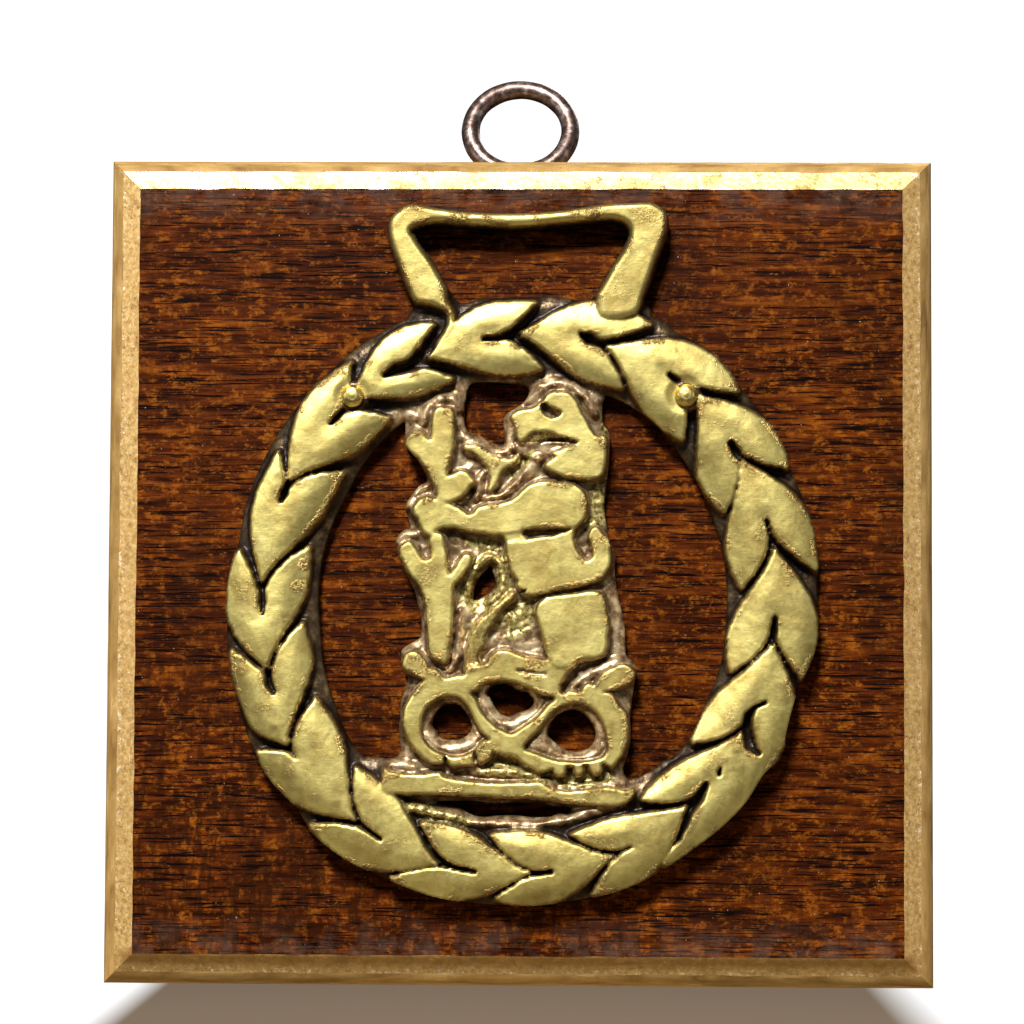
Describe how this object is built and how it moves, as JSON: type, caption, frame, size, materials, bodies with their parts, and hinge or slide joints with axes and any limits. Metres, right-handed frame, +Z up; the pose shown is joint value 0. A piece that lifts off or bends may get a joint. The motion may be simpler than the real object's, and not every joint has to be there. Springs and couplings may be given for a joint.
{
  "type": "horse brass on wooden plaque",
  "caption": "Cast horse brass: a laurel wreath around a bear with a ragged staff over a knot, pinned to a square mahogany plaque with a hanging eye.",
  "frame": {"origin": "middle of the plaque's flat back, on the wall's surface", "axes": "+Z up, -Y out of the wall towards the viewer, +Y into the wall, +X to the viewer's right"},
  "size_m": [0.1016, 0.0241, 0.1147],
  "materials": {
    "mahogany": "semi-gloss varnish, gilded edge bevels",
    "cast_brass": "cast, worn polish on the raised parts, dark in the recesses",
    "pin_brass": "polished",
    "dark_metal": "smooth, dark brown-black"
  },
  "bodies": {
    "root": {"plaque": "mahogany", "horse_brass": "cast_brass", "pin_left": "pin_brass", "pin_right": "pin_brass", "hanging_eye": "dark_metal"}
  },
  "joints": []
}
